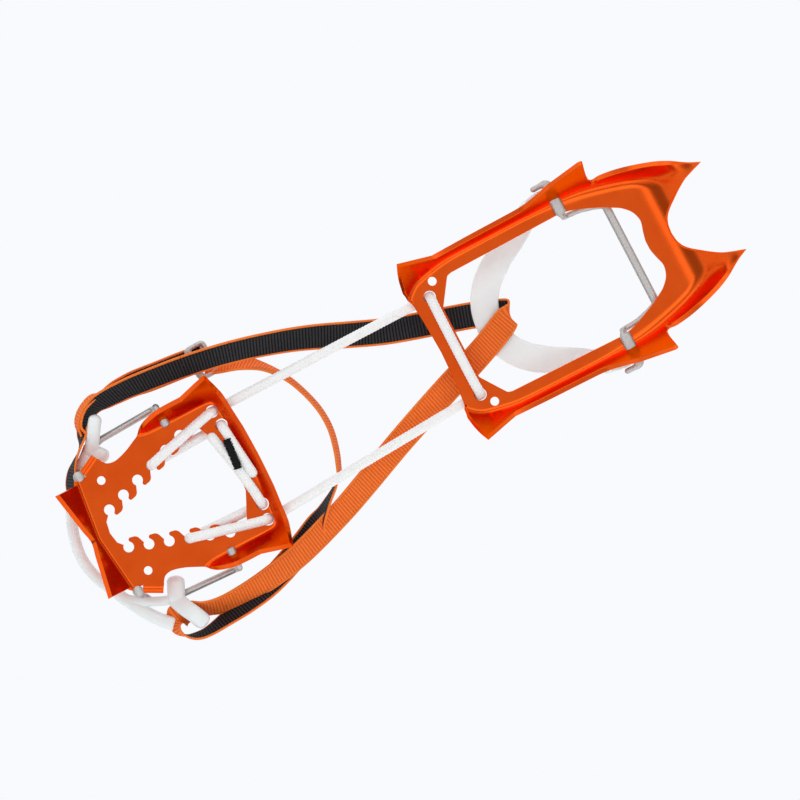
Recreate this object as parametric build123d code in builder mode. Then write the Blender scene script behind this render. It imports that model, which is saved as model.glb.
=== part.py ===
from build123d import *
import os
from math import cos, radians, sin

os.makedirs("parts", exist_ok=True)

# One flexible crampon lying on its bindings, points up. +X runs to the toes, +Y to the side of the black
# strap face, +Z up. The origin is on the floor under the middle of the model. Millimetres.

# ---------------------------------------------------------------- driving dimensions
FRONT_X, FRONT_Y = 31.1, 4.7          # middle of the front section's rear edge
HEEL_X, HEEL_Y = -194.5, 1.0          # middle of the heel section's rear tips
PLATE_Z = 20.5                        # boot side of both base plates above the floor
SHEET = 3.0                           # aluminium sheet
PLATE_TOP = PLATE_Z + SHEET
FLANGE_ANGLE = 66.0                   # side flanges against the base plate
RISE, DROP = sin(radians(FLANGE_ANGLE)), cos(radians(FLANGE_ANGLE))

CORD_R = 2.8
CORD_TOP_Z = PLATE_TOP + CORD_R + 0.15    # cord lying on the ground side of a plate
CORD_LOW_Z = PLATE_Z - CORD_R - 0.4       # cord lying on the boot side of a plate
CORD_HOLE_R = 3.45
FRONT_CORD_X, FRONT_CORD_Y = 7.5, 30.2
HEEL_CORD_X, HEEL_CORD_Y = 97.7, 33.4
TAIL_HOLE_X, TAIL_HOLE_Y = 99.0, 24.5
ACCESSORY_R = 2.45
FRONT_ACCESSORY = (12.7, 37.2)
HEEL_ACCESSORY = (26.2, 27.9)

FRONT_FLANGE_Y = 45.7                 # outer foot of the front side flanges
TOE_PIVOT_X, TOE_PIVOT_Z = 92.8, PLATE_Z + 5.7
TOE_SPARE_X = 104.2
TOE_WIRE_R = 1.9
TOE_BAR_X, TOE_BAR_Z = 116.7, PLATE_Z - 2.6
HARNESS_R = 54.0                      # outer radius of the folded toe arch
HARNESS_BAND = 16.0
HARNESS_CENTRE_X = 76.8
HARNESS_Z, HARNESS_T = 2.2, 3.0
HARNESS_ARM_FOOT = (76.0, 6.6)        # X and Z of the lower end of each arm
HARNESS_ARM_Y, HARNESS_ARM_T, HARNESS_ARM_W = 51.4, 2.8, 10.5

HEEL_FLANGE_Y = 43.2
NOTCHES = 6
NOTCH_R = 3.2
NOTCH_FIRST = (22.7, 11.5)
NOTCH_STEP = (10.65, 3.7)
LASH_NOTCH = 3                        # the notch the cord sits in, counted from 0
HEEL_PIVOT = (71.6, 44.0, PLATE_Z + 5.5)
HEEL_SEAT = (16.2, 35.3, PLATE_Z + 1.5)
HEEL_WIRE_R = 1.9
LOOP_R = 4.75                         # tube that the strap goes round
LOOP_Z = LOOP_R + 2.2
SLEEVE_X, SLEEVE_Y = 35.0, 43.6       # moulded sleeve on the lower strand of each heel wire
SLEEVE_SIZE = (11.0, 14.5, 11.4)

STRAP_W, STRAP_T = 15.0, 1.5
FLOOR_GAP = 0.2
LOW_PLY_Z = FLOOR_GAP + STRAP_T / 2           # middle of a ply lying on the floor
TOP_PLY_Z = HARNESS_Z + HARNESS_T + 0.4 + STRAP_T / 2
LOOP_TOP_Z = LOOP_Z + LOOP_R + 1.1            # middle of a ply lying on a heel loop
EDGE_HEIGHT = 13.4                            # of webbing that stands on its edge


def front(x, y, z=0.0):
    """A place given from the front section's rear edge, in the row frame."""
    return (FRONT_X + x, FRONT_Y + y, z)


def heel(x, y, z=0.0):
    """A place given from the heel section's rear tips, in the row frame."""
    return (HEEL_X + x, HEEL_Y + y, z)


def front_plane(z):
    return Plane(origin=front(0, 0, z))


def heel_plane(z):
    return Plane(origin=heel(0, 0, z))


def side_flange_plane(origin, side):
    """The outer face of a side flange: X along the row, Y up the slope, the normal away from the middle."""
    return Plane(origin=origin, x_dir=(side, 0, 0), z_dir=(0, side * RISE, -DROP))


def save(part, name):
    part.label = name
    export_step(part, f"parts/{name}.step")


def round_bar(points, radii, radius):
    """A round bar or cord along straight runs joined by arcs."""
    with BuildPart() as bar:
        with BuildLine() as path:
            FilletPolyline(*points, radius=radii)
        with BuildSketch(Plane(origin=path.line @ 0, z_dir=path.line % 0)):
            Circle(radius)
        sweep(path=path.line)
    return bar.part


def ribbon(plan, profile, width=STRAP_W, thickness=STRAP_T):
    """Flat webbing: a plan route of the given width that follows a height profile over X."""
    with BuildPart() as web:
        with BuildSketch():
            with BuildLine():
                Polyline(*plan)
            trace(line_width=width)
        extrude(amount=40)
        with BuildSketch(Plane.XZ):
            with BuildLine():
                Polyline(*profile)
            trace(line_width=thickness)
        extrude(amount=200, both=True, mode=Mode.INTERSECT)
    return web.part


# ---------------------------------------------------------------- front section
FRONT_OPENING = [(11.3, 0), (11.3, 21), (21.0, 36.0), (91.5, 38), (108.8, 33.5), (122.7, 24.2), (129.3, 14),
                 (127.2, 0)]
FRONT_BASE = [(-1.5, 0), (-3.0, 38), (-1.5, 45.7), (112, 45.7), (136, 41.5), (143, 38.5), (143, 3), (141, 0)]
POINT_BEND_X = 142.0
POINT_ANGLE = 45.0

with BuildPart() as front_frame:
    with BuildSketch(front_plane(PLATE_Z)):
        with BuildLine():
            Polyline(*FRONT_BASE)
            mirror(about=Plane.XZ)
        make_face()
    extrude(amount=SHEET)
    with BuildSketch(front_plane(PLATE_Z)) as opening:
        with BuildLine():
            Polyline(*FRONT_OPENING)
            mirror(about=Plane.XZ)
        make_face()
        corners = [v for v in opening.vertices() if abs(v.Y - FRONT_Y) > 16]
        fillet(corners, 5)
    extrude(amount=SHEET, mode=Mode.SUBTRACT)
    with Locations(front_plane(PLATE_TOP)):
        with Locations((FRONT_CORD_X, FRONT_CORD_Y), (FRONT_CORD_X, -FRONT_CORD_Y)):
            Hole(CORD_HOLE_R, SHEET)
        with Locations(FRONT_ACCESSORY, (FRONT_ACCESSORY[0], -FRONT_ACCESSORY[1])):
            Hole(ACCESSORY_R, SHEET)
    # side flanges with the rear corner points and the side points
    for side in (1, -1):
        flange = side_flange_plane(front(0, side * FRONT_FLANGE_Y, PLATE_Z), side)
        with BuildSketch(flange):
            with BuildLine():
                Polyline((side * -2, 0), (side * -1, -21.5), (side * 19, -13), (side * 76, -13), (side * 92, -18),
                         (side * 115.5, -30), (side * 113.5, -8), (side * 112, 0), (side * -2, 0))
            make_face()
        extrude(amount=-SHEET)
        # corner gusset along the rear edge
        with BuildSketch(Plane.YZ.offset(FRONT_X - 2.2)):
            with Locations((FRONT_Y, 0)):
                with BuildLine():
                    Polyline((side * 30, PLATE_Z), (side * 45.7, PLATE_Z), (side * 53.8, PLATE_Z + 18.5),
                             (side * 50.5, PLATE_Z + 18.5), (side * 30, PLATE_Z))
                make_face()
        extrude(amount=SHEET)
        # rib from the side point to the front point
        with BuildSketch(Plane(origin=front(111, side * 44.0, PLATE_Z), x_dir=(0.955, side * -0.295, 0))):
            with Locations((20, 0)):
                Rectangle(40, SHEET)
        extrude(amount=9)
    # front points, bent towards the ground
    lean, lift = cos(radians(POINT_ANGLE)), sin(radians(POINT_ANGLE))
    slope = Plane(origin=front(POINT_BEND_X, 0, PLATE_Z), x_dir=(lean, 0, lift), z_dir=(-lift, 0, lean))
    for side in (1, -1):
        with BuildSketch(slope):
            with BuildLine():
                Polyline((0, side * 5), (0, side * 39), (20, side * 36), (43.5, side * 27), (25, side * 20),
                         (8, side * 14), (0, side * 5))
            make_face()
        extrude(amount=SHEET)
    # pivot holes of the toe wire, and the spare pair for another boot shape
    for pivot_x in (TOE_PIVOT_X, TOE_SPARE_X):
        with Locations(Plane(origin=front(pivot_x, 0, TOE_PIVOT_Z), z_dir=(0, 1, 0))):
            Cylinder(TOE_WIRE_R + 0.3, 130, mode=Mode.SUBTRACT)
save(front_frame.part, "front_frame")

LEG_Y = 34.2
half = [(TOE_PIVOT_X - 10, 57.6, TOE_PIVOT_Z), (TOE_PIVOT_X, 57.6, TOE_PIVOT_Z), (TOE_PIVOT_X, LEG_Y, TOE_PIVOT_Z),
        (TOE_PIVOT_X + 5, LEG_Y, TOE_BAR_Z - 2), (TOE_BAR_X, LEG_Y - 3, TOE_BAR_Z)]
route = [front(*p) for p in half] + [front(x, -y, z) for x, y, z in reversed(half)]
toe_wire = round_bar(route, 2.6, TOE_WIRE_R)
save(toe_wire, "toe_wire")

with BuildPart() as toe_harness:
    with BuildSketch(front_plane(HARNESS_Z)):
        with Locations((HARNESS_CENTRE_X, 0)):
            Circle(HARNESS_R)
            Circle(HARNESS_R - HARNESS_BAND, mode=Mode.SUBTRACT)
            with Locations((HARNESS_R / 2 + 2, 0)):
                Rectangle(HARNESS_R, 2 * HARNESS_R + 2, mode=Mode.SUBTRACT)
    extrude(amount=HARNESS_T)
    # foot rim under the outer edge, open where the strap goes under
    with BuildSketch(front_plane(0)):
        with Locations((HARNESS_CENTRE_X, 0)):
            Circle(HARNESS_R)
            Circle(HARNESS_R - 2.4, mode=Mode.SUBTRACT)
            with Locations((HARNESS_R / 2 + 2, 0)):
                Rectangle(HARNESS_R, 2 * HARNESS_R + 2, mode=Mode.SUBTRACT)
        with Locations((24, 13.5)):
            Rectangle(16, 26, mode=Mode.SUBTRACT)
    extrude(amount=HARNESS_Z)
    # arms up to the pivots, outside the flanges
    foot_x, foot_z = HARNESS_ARM_FOOT
    arm_run = Vector(TOE_PIVOT_X - foot_x, 0, TOE_PIVOT_Z - foot_z)
    for side in (1, -1):
        arm_plane = Plane(origin=front(foot_x, side * HARNESS_ARM_Y, foot_z), x_dir=arm_run, z_dir=(0, side, 0))
        with BuildSketch(arm_plane):
            with Locations((arm_run.length / 2, 0)):
                SlotCenterToCenter(arm_run.length, HARNESS_ARM_W)
            with Locations((arm_run.length, 0)):
                Circle(TOE_WIRE_R + 0.15, mode=Mode.SUBTRACT)
        extrude(amount=HARNESS_ARM_T)
save(toe_harness.part, "toe_harness")

# ---------------------------------------------------------------- heel section
HEEL_BASE = [(12.4, 0), (12.4, 32), (30.3, 37), (35, 34.5), (39, 35.6), (54.8, 40.9), (62, 43.2), (100, 43.2),
             (107.5, 36), (108, 0)]
HEEL_OPENING = [(17, 0), (19, 8.5), (24, 9.5), (72, 26.3), (86, 29.5), (94.3, 13.4), (94.5, 0)]

with BuildPart() as heel_frame:
    with BuildSketch(heel_plane(PLATE_Z)):
        with BuildLine():
            Polyline(*HEEL_BASE)
            mirror(about=Plane.XZ)
        make_face()
    extrude(amount=SHEET)
    with BuildSketch(heel_plane(PLATE_Z)):
        with BuildLine():
            Polyline(*HEEL_OPENING)
            mirror(about=Plane.XZ)
        make_face()
        for side in (1, -1):
            for k in range(NOTCHES):
                place = (NOTCH_FIRST[0] + k * NOTCH_STEP[0], side * (NOTCH_FIRST[1] + k * NOTCH_STEP[1]))
                with Locations(place):
                    Circle(NOTCH_R)
                # the mouth of the hook opens rearwards and inwards
                with Locations(Location((place[0] - 2.0, place[1] - side * 3.4), side * 62)):
                    Rectangle(7.6, 4.6)
            with Locations((HEEL_SEAT[0], side * HEEL_SEAT[1]), (HEEL_SEAT[0], side * (HEEL_SEAT[1] + 3))):
                Circle(HEEL_WIRE_R + 1.6)
    extrude(amount=SHEET, mode=Mode.SUBTRACT)
    with Locations(heel_plane(PLATE_TOP)):
        with Locations((HEEL_CORD_X, HEEL_CORD_Y), (HEEL_CORD_X, -HEEL_CORD_Y),
                       (TAIL_HOLE_X, TAIL_HOLE_Y), (TAIL_HOLE_X, -TAIL_HOLE_Y)):
            Hole(CORD_HOLE_R, SHEET)
        with Locations(HEEL_ACCESSORY, (HEEL_ACCESSORY[0], -HEEL_ACCESSORY[1])):
            Hole(ACCESSORY_R - 0.05, SHEET)
    for side in (1, -1):
        flange = side_flange_plane(heel(0, side * HEEL_FLANGE_Y, PLATE_Z), side)
        with BuildSketch(flange):
            with BuildLine():
                Polyline((side * 58, 0), (side * 68, -11), (side * 86, -11), (side * 102.3, -22.3),
                         (side * 104, 0), (side * 58, 0))
            make_face()
        extrude(amount=-SHEET)
        # ear bent to the boot side
        with Locations(heel(24.6, side * 36.6, PLATE_Z - 3.0)):
            Box(8.4, SHEET, 8.4)
    # front flange
    front_face = Plane(origin=heel(107.5, 0, PLATE_Z), x_dir=(0, 1, 0), z_dir=(RISE, 0, -DROP))
    with BuildSketch(front_face):
        with BuildLine():
            Polyline((-42, 0), (-47, 9), (-30, 6), (30, 6), (47, 9), (42, 0), (-42, 0))
        make_face()
    extrude(amount=-SHEET)
    # rear flange with the two heel points
    rear_face = Plane(origin=heel(12.6, 0, PLATE_Z), x_dir=(0, -1, 0), z_dir=(-RISE, 0, -DROP))
    with BuildSketch(rear_face):
        with BuildLine():
            Polyline((-30.5, 0), (-33.5, 30), (-5, 15), (5, 15), (33.5, 30), (30.5, 0), (-30.5, 0))
        make_face()
    extrude(amount=-SHEET)
    # slotted pivot holes of the heel wires, with a spare pair ahead
    for pivot_x in (HEEL_PIVOT[0], HEEL_PIVOT[0] + 9):
        with Locations(Plane(origin=heel(pivot_x, 0, HEEL_PIVOT[2]), x_dir=(0, 0, 1), z_dir=(0, 1, 0))):
            Box(2.8, 2 * HEEL_WIRE_R + 0.6, 110, mode=Mode.SUBTRACT)
            with Locations((1.4, 0), (-1.4, 0)):
                Cylinder(HEEL_WIRE_R + 0.3, 110, mode=Mode.SUBTRACT)
save(heel_frame.part, "heel_frame")

HEEL_WIRE_ROUTE = [(HEEL_PIVOT[0], 38.6, HEEL_PIVOT[2]), (HEEL_PIVOT[0], 50.4, HEEL_PIVOT[2]), (68.5, 50.4, 2.8),
                   (34, 48.0, 2.8), (18.0, 44.0, 7.5), (HEEL_SEAT[0], HEEL_SEAT[1], 13.5),
                   (HEEL_SEAT[0], HEEL_SEAT[1], PLATE_TOP + 2.0)]
for side, name in ((1, "left"), (-1, "right")):
    bar = round_bar([heel(x, side * y, z) for x, y, z in HEEL_WIRE_ROUTE], 2.6, HEEL_WIRE_R)
    with BuildPart() as heel_wire:
        add(bar)
        with Locations(heel(HEEL_SEAT[0], side * HEEL_SEAT[1], PLATE_TOP + 2.9)):
            Cylinder(3.0, 1.8)
    save(heel_wire.part, f"heel_wire_{name}")

    reach = (9.0, 23.7) if side < 0 else (7.0, 17.0)
    tip = (32 + reach[0], 49 + reach[1])
    with BuildPart() as heel_loop:
        with BuildSketch(heel_plane(0)):
            with Locations((SLEEVE_X, side * SLEEVE_Y)):
                RectangleRounded(SLEEVE_SIZE[0], SLEEVE_SIZE[1], 4.5)
        extrude(amount=SLEEVE_SIZE[2])
        fillet(heel_loop.edges().group_by(Axis.Z)[-1], 2.5)
        with BuildLine() as axis:
            Line(heel(34, side * 46, LOOP_Z), heel(tip[0], side * tip[1], LOOP_Z))
        with BuildSketch(Plane(origin=axis.line @ 0, z_dir=axis.line % 0)):
            Circle(LOOP_R)
        sweep(path=axis.line)
        with Locations(axis.line @ 1):
            Sphere(LOOP_R)
        add(heel_wire.part, mode=Mode.SUBTRACT)
    save(heel_loop.part, f"heel_loop_{name}")

CUP_ROUTE = [(31.0, -57.2), (21, -57), (11, -51.5), (3, -44), (-3, -28), (-7.2, -9), (-7.2, 9), (-3.4, 21),
             (3, 28.5), (12, 34.5), (28.8, 39.5)]
with BuildPart() as heel_cup:
    with BuildSketch(heel_plane(FLOOR_GAP)):
        with BuildLine():
            Polyline(*CUP_ROUTE)
        trace(line_width=4.4)
    extrude(amount=8.3)
    # upper strut beside the sleeve
    with BuildSketch(heel_plane(FLOOR_GAP)):
        with BuildLine():
            Polyline((29.2, -52.2), (17, -50.6), (7.5, -48.2))
        trace(line_width=2.4)
    extrude(amount=6)
save(heel_cup.part, "heel_cup")

# ---------------------------------------------------------------- link cord, one closed braided loop
NOTCH_X = NOTCH_FIRST[0] + LASH_NOTCH * NOTCH_STEP[0]
NOTCH_Y = NOTCH_FIRST[1] + LASH_NOTCH * NOTCH_STEP[1]
BRIDGE_R = (CORD_TOP_Z - CORD_LOW_Z - SHEET) / 2 - 0.05

bridge_half = [(-1.0, FRONT_CORD_Y, CORD_LOW_Z), (FRONT_CORD_X, FRONT_CORD_Y, CORD_LOW_Z),
               (FRONT_CORD_X, FRONT_CORD_Y, CORD_TOP_Z)]
bridge_route = [front(*p) for p in bridge_half] + [front(x, -y, z) for x, y, z in reversed(bridge_half)]
cord_front_bridge = round_bar(bridge_route, BRIDGE_R, CORD_R)
save(cord_front_bridge, "cord_front_bridge")

for side, name in ((1, "left"), (-1, "right")):
    # long run between the sections, a little closer together at the toe end
    run_start = front(-1.3, side * FRONT_CORD_Y, CORD_LOW_Z)
    run_end = heel(HEEL_CORD_X + 6.0, side * HEEL_CORD_Y, CORD_LOW_Z)
    with BuildPart() as cord_run:
        with BuildLine() as axis:
            Line(run_start, run_end)
        with BuildSketch(Plane(origin=axis.line @ 0, z_dir=axis.line % 0)):
            Circle(CORD_R)
        sweep(path=axis.line)
    save(cord_run.part, f"cord_run_{name}")

    # elbow up through the heel section's hole
    bend_x, bend_y = HEEL_CORD_X, side * HEEL_CORD_Y
    cord_bend = round_bar([heel(HEEL_CORD_X + 5.7, bend_y, CORD_LOW_Z), heel(bend_x, bend_y, CORD_LOW_Z),
                           heel(bend_x, bend_y, PLATE_Z + 1.0)], BRIDGE_R, CORD_R)
    save(cord_bend, f"cord_bend_{name}")

    # lashing: over the plate to the hook, round it, and back under the plate to the tail hole
    lash_route = [heel(bend_x, bend_y, PLATE_Z + 1.2), heel(bend_x, bend_y, CORD_TOP_Z),
                  heel(NOTCH_X, side * NOTCH_Y, CORD_TOP_Z), heel(NOTCH_X, side * NOTCH_Y, CORD_LOW_Z),
                  heel(TAIL_HOLE_X, side * TAIL_HOLE_Y, CORD_LOW_Z),
                  heel(TAIL_HOLE_X, side * TAIL_HOLE_Y, PLATE_Z + 1.0)]
    cord_lashing = round_bar(lash_route, BRIDGE_R, CORD_R)
    save(cord_lashing, f"cord_lashing_{name}")

TAIL_ENDS = {"left": (102.6, -9.5), "right": (90.9, 23.5)}
for side, name in ((1, "left"), (-1, "right")):
    end_x, end_y = TAIL_ENDS[name]
    cord_tail = round_bar([heel(TAIL_HOLE_X, side * TAIL_HOLE_Y, PLATE_Z + 1.2),
                           heel(TAIL_HOLE_X, side * TAIL_HOLE_Y, CORD_TOP_Z), heel(end_x, end_y, CORD_TOP_Z)],
                          BRIDGE_R, CORD_R)
    save(cord_tail, f"cord_tail_{name}")

with BuildPart() as cord_stitching:
    with Locations(Location(heel(97.4, 7.6, CORD_TOP_Z + CORD_R + 0.5), (0, 0, 6))):
        Box(4.5, 17, 0.9)
save(cord_stitching.part, "cord_stitching")

# ---------------------------------------------------------------- strap, one long webbing in named stretches
TURN_X = HARNESS_CENTRE_X - HARNESS_R + HARNESS_BAND

LEFT_PLAN = [(-181.5, 59.4), (-166.7, 62.6), (-148.7, 61.3), (-103.9, 54.2), (-61.0, 41.1), (-23.5, 25.0),
             (7.7, 15.5), (33.0, 6.5)]
LEFT_HEIGHTS = [(-189, 13.2), (-160, 16.0), (-80, 16.0), (-52, 8.0), (-10, LOW_PLY_Z), (40, LOW_PLY_Z)]
left_plan = [front(x, y)[:2] for x, y in LEFT_PLAN]
left_profile = [(front(x, 0)[0], z) for x, z in LEFT_HEIGHTS]
strap_left_run = ribbon(left_plan, left_profile)
save(strap_left_run, "strap_left_run")

with BuildPart() as strap_toe_turn:
    turn_plane = Plane(origin=front(TURN_X, 1.0, 0), x_dir=(0.94, -0.34, 0), z_dir=(-0.34, -0.94, 0))
    with BuildSketch(turn_plane):
        with BuildLine():
            Polyline((-4.5, LOW_PLY_Z), (4.4, LOW_PLY_Z), (4.4, TOP_PLY_Z), (-17, TOP_PLY_Z))
        trace(line_width=STRAP_T)
    extrude(amount=STRAP_W / 2, both=True)
save(strap_toe_turn.part, "strap_toe_turn")

RIGHT_PLAN = [(14.5, -11.0), (-9.2, -19.8), (-43.3, -32.5), (-91.7, -52.8), (-120.1, -61.0), (-150.0, -65.6),
              (-179.0, -66.0)]
RIGHT_HEIGHTS = [(20, TOP_PLY_Z), (-8, 5.0), (-120, 5.0), (-172, LOOP_TOP_Z), (-184, LOOP_TOP_Z)]
right_plan = [front(x, y)[:2] for x, y in RIGHT_PLAN]
right_profile = [(front(x, 0)[0], z) for x, z in RIGHT_HEIGHTS]
strap_right_run = ribbon(right_plan, right_profile)
save(strap_right_run, "strap_right_run")


def loop_turn(middle, run, length, rear):
    """The webbing that turns round the tube of a heel loop, from its top ply to its lower ply."""
    along = Plane(origin=middle, x_dir=(1, run, 0), z_dir=(run, -1, 0))
    with BuildPart() as turn:
        with BuildSketch(along):
            with BuildLine():
                Polyline((3.5, LOOP_TOP_Z), (-rear + 3, LOOP_TOP_Z - 1), (-rear, LOOP_Z), (-rear + 3, LOW_PLY_Z),
                         (length, LOW_PLY_Z))
            trace(line_width=STRAP_T)
        extrude(amount=STRAP_W / 2, both=True)
    return turn.part


strap_turn_right = loop_turn(heel(38.2, -66.2), 0.38, 3.5, 12)
save(strap_turn_right, "strap_turn_right")
strap_turn_left = loop_turn(heel(36.8, 60.2), -0.25, 3.5, 11)
save(strap_turn_left, "strap_turn_left")

LOWER_PLY_ROUTE = [(-178.5, -69.6), (-165, -69), (-146, -67), (-128, -60.5), (-112, -55), (-100, -50.4), (-87, -43)]
with BuildPart() as strap_lower_ply:
    with BuildSketch(Plane.XY.offset(FLOOR_GAP)):
        with BuildLine():
            Polyline(*[front(x, y)[:2] for x, y in LOWER_PLY_ROUTE])
        trace(line_width=STRAP_W)
    extrude(amount=STRAP_T)
save(strap_lower_ply.part, "strap_lower_ply")

ANKLE_ROUTE = [(-82.5, -35.5), (-80.7, -30.5), (-77.1, -21.8), (-74.4, -8.3), (-75.2, 4.5), (-79.1, 18.3),
               (-83.5, 29.0), (-91.8, 39.2), (-101, 47.7), (-109, 53)]
with BuildPart() as strap_ankle:
    with BuildSketch(Plane.XY.offset(FLOOR_GAP)):
        with BuildLine():
            Polyline(*[front(x, y)[:2] for x, y in ANKLE_ROUTE])
        trace(line_width=STRAP_T)
    extrude(amount=EDGE_HEIGHT)
save(strap_ankle.part, "strap_ankle")

with BuildPart() as strap_buckle_ply:
    with BuildSketch(Plane.XY.offset(FLOOR_GAP)):
        with BuildLine():
            Polyline(*[front(x, y)[:2] for x, y in ((-179.5, 57.6), (-167, 61), (-148, 61.5), (-118, 60))])
        trace(line_width=STRAP_W)
    extrude(amount=STRAP_T)
save(strap_buckle_ply.part, "strap_buckle_ply")

with BuildPart() as strap_tail:
    with BuildSketch(Plane.XY.offset(FLOOR_GAP)):
        with BuildLine():
            Polyline(*[heel(x, y)[:2] for x, y in ((22, 59), (19, 51), (13, 43), (5, 37))])
        trace(line_width=STRAP_T)
    extrude(amount=EDGE_HEIGHT)
save(strap_tail.part, "strap_tail")

RING_R = 1.5
RINGS = {"buckle_ring_fixed": (-121.5, 58.5, 3.6), "buckle_ring_free": (-119.5, 58.5, 7.2)}
for name, (x, y, z) in RINGS.items():
    with BuildPart() as ring:
        with BuildLine(Plane(origin=front(x, y, z))) as outline:
            Polyline((-6, -12), (6, -12), (6, 12), (-6, 12), close=True)
            fillet(outline.vertices(), 4)
        with BuildSketch(Plane(origin=outline.line @ 0, z_dir=outline.line % 0)):
            Circle(RING_R)
        sweep(path=outline.line)
    save(ring.part, name)
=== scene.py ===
"""Looks of one flexible crampon: pressed and anodised aluminium sections, a braided link cord, a long
two-coloured strap, steel wires and moulded white bindings. Lengths in the tables are millimetres, given from
the front section's rear edge (front) or from the heel section's rear tips (heel)."""
import math

import bmesh
import bpy
import numpy as np
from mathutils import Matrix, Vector
from mathutils.geometry import delaunay_2d_cdt


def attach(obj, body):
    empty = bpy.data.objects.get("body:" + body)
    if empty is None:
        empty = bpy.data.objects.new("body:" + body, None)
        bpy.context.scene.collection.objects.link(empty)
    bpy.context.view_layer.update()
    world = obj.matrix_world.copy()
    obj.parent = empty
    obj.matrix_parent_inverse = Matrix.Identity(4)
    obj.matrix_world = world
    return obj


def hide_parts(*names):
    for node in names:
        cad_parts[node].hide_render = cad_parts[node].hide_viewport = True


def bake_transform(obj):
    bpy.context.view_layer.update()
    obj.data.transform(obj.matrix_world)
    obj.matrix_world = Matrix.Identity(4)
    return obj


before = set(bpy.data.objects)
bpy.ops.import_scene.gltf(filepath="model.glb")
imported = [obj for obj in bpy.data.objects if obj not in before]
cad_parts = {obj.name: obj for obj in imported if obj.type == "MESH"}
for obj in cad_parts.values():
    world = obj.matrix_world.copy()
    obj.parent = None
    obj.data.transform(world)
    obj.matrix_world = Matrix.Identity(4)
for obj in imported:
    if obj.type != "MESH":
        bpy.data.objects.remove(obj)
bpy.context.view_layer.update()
MM = 0.001

FRONT = np.array((31.1, 4.7, 0.0))
HEEL = np.array((-194.5, 1.0, 0.0))
PLATE_Z, SHEET = 20.5, 3.0
PLATE_TOP = PLATE_Z + SHEET
CORD_R = 2.8
CORD_TOP_Z, CORD_LOW_Z = PLATE_TOP + CORD_R + 0.15, PLATE_Z - CORD_R - 0.4
BOTH_SIDES = ((1, "left"), (-1, "right"))


def front(*points):
    return np.array(points if len(points) > 1 else points[0], float) + FRONT


def heel(*points):
    return np.array(points if len(points) > 1 else points[0], float) + HEEL


def mirrored(half):
    """A closed outline from its +Y half, which starts and ends on the middle line."""
    return list(half) + [(x, -y) for x, y in reversed(half) if y > 1e-6]


# ---- materials
def material(name, build, kind="BsdfPrincipled"):
    """A material with one shader of that kind, which build(nodes, shader) sets up."""
    mat = bpy.data.materials.new(name)
    mat.use_nodes = True
    tree = mat.node_tree
    tree.nodes.clear()
    out = tree.nodes.new("ShaderNodeOutputMaterial")
    shader = tree.nodes.new("ShaderNode" + kind)
    tree.links.new(shader.outputs[0], out.inputs[0])
    build(Nodes(tree), shader)
    return mat


def set_stops(ramp, stops):
    """Fills a colour ramp with (place, colour) stops."""
    while len(ramp.elements) < len(stops):
        ramp.elements.new(0.5)
    for element, (place, colour) in zip(ramp.elements, stops):
        element.position = place
        element.color = (*colour, 1)


class Nodes:
    """Short names for the few nodes that the materials share."""

    def __init__(self, tree):
        self.tree = tree

    def new(self, kind, **values):
        node = self.tree.nodes.new("ShaderNode" + kind)
        for key, value in values.items():
            if key in node.inputs:
                node.inputs[key].default_value = value
            else:
                setattr(node, key, value)
        return node

    def link(self, a, b):
        self.tree.links.new(a, b)

    def place(self, kind="Object"):
        return self.new("TexCoord").outputs[kind]

    def stretched(self, scale):
        mapping = self.new("Mapping", Scale=scale)
        self.link(self.place(), mapping.inputs["Vector"])
        return mapping.outputs[0]

    def noise(self, vector, scale, detail):
        node = self.new("TexNoise", Scale=scale, Detail=detail, Roughness=0.6)
        self.link(vector, node.inputs["Vector"])
        return node.outputs["Fac"]

    def relief(self):
        """How high each point stands in the weave or the braid, which the materials turn into painted shade."""
        return self.new("Attribute", attribute_name="relief").outputs["Fac"]

    def ramp(self, factor, *stops):
        node = self.new("ValToRGB")
        set_stops(node.color_ramp, stops)
        self.link(factor, node.inputs[0])
        return node.outputs[0]

    def level(self, factor, low, high):
        node = self.new("MapRange")
        node.inputs["To Min"].default_value = low
        node.inputs["To Max"].default_value = high
        self.link(factor, node.inputs["Value"])
        return node.outputs[0]

    def mixed(self, factor, first, second):
        """A blend from the colour of a socket to a fixed colour."""
        node = self.new("Mix", data_type="RGBA")
        self.link(factor, node.inputs[0])
        self.link(first, node.inputs[6])
        node.inputs[7].default_value = (*second, 1)
        return node.outputs[2]

    def math(self, operation, *values):
        """One sum. Each value is a socket or a number."""
        node = self.new("Math", operation=operation)
        for socket, value in zip(node.inputs, values):
            if hasattr(value, "is_linked"):
                self.link(value, socket)
            else:
                socket.default_value = value
        return node.outputs[0]

    def bump(self, height, strength, distance, onto=None):
        node = self.new("Bump", Strength=strength, Distance=distance)
        self.link(height, node.inputs["Height"])
        if onto:
            self.link(onto, node.inputs["Normal"])
        return node.outputs[0]


def anodised(n, shader):
    """Satin dyed aluminium: fine rolling grain and a faint dye mottle."""
    grain = n.noise(n.stretched((900, 5200, 5200)), 1.0, 3)
    mottle = n.noise(n.place(), 55.0, 5)
    dye = n.ramp(mottle, (0.30, (0.84, 0.098, 0.010)), (0.70, (0.90, 0.118, 0.013)))
    n.link(dye, shader.inputs["Base Color"])
    n.link(n.level(mottle, 0.19, 0.26), shader.inputs["Roughness"])
    n.link(n.bump(grain, 0.12, 0.00006), shader.inputs["Normal"])
    shader.inputs["Metallic"].default_value = 1.0
    shader.inputs["Specular Tint"].default_value = (1.0, 0.42, 0.2, 1.0)


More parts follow.
